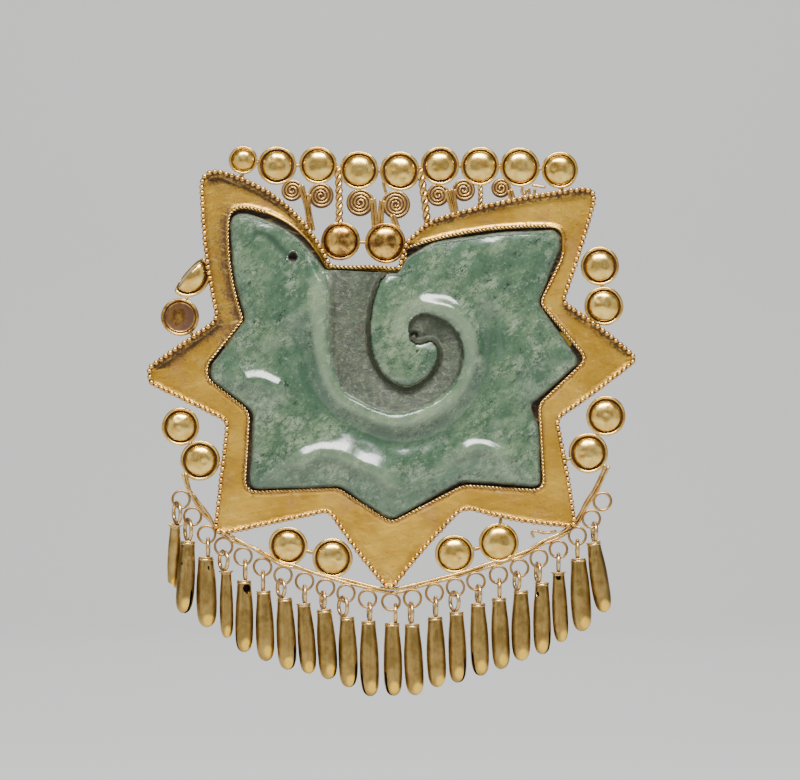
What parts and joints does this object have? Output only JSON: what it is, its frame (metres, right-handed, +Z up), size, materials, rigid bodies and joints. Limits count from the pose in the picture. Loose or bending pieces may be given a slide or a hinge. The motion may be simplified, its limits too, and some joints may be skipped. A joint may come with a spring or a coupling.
{
  "type": "pectoral ornament",
  "caption": "Star-shaped gold setting round a carved green stone, with domed bosses, wire scrolls and a bow of hanging slit bells, worn on a neck cord.",
  "frame": {"origin": "on the neck cord's axis, midway between the two hanging tubes behind the top of the setting", "axes": "+X to the right as seen from the front, +Z up, -Y towards the viewer"},
  "size_m": [0.0979, 0.0084, 0.1102],
  "materials": {
    "gold": "satin gold with brown tarnish",
    "bell_gold": "dull worn gold, brighter at the tips",
    "jade": "polished mottled green stone"
  },
  "bodies": {
    "root": {"gold_mount": "gold", "jade_plaque": "jade", "hanger_left": "gold", "hanger_right": "gold", "bell_01": "bell_gold", "bell_02": "bell_gold", "bell_03": "bell_gold", "bell_04": "bell_gold", "bell_05": "bell_gold", "bell_06": "bell_gold", "bell_07": "bell_gold", "bell_08": "bell_gold", "bell_09": "bell_gold", "bell_10": "bell_gold", "bell_11": "bell_gold", "bell_12": "bell_gold", "bell_13": "bell_gold", "bell_14": "bell_gold", "bell_15": "bell_gold", "bell_16": "bell_gold", "bell_17": "bell_gold", "bell_18": "bell_gold", "bell_19": "bell_gold", "bell_20": "bell_gold", "bell_21": "bell_gold", "bell_22": "bell_gold"}
  },
  "joints": []
}
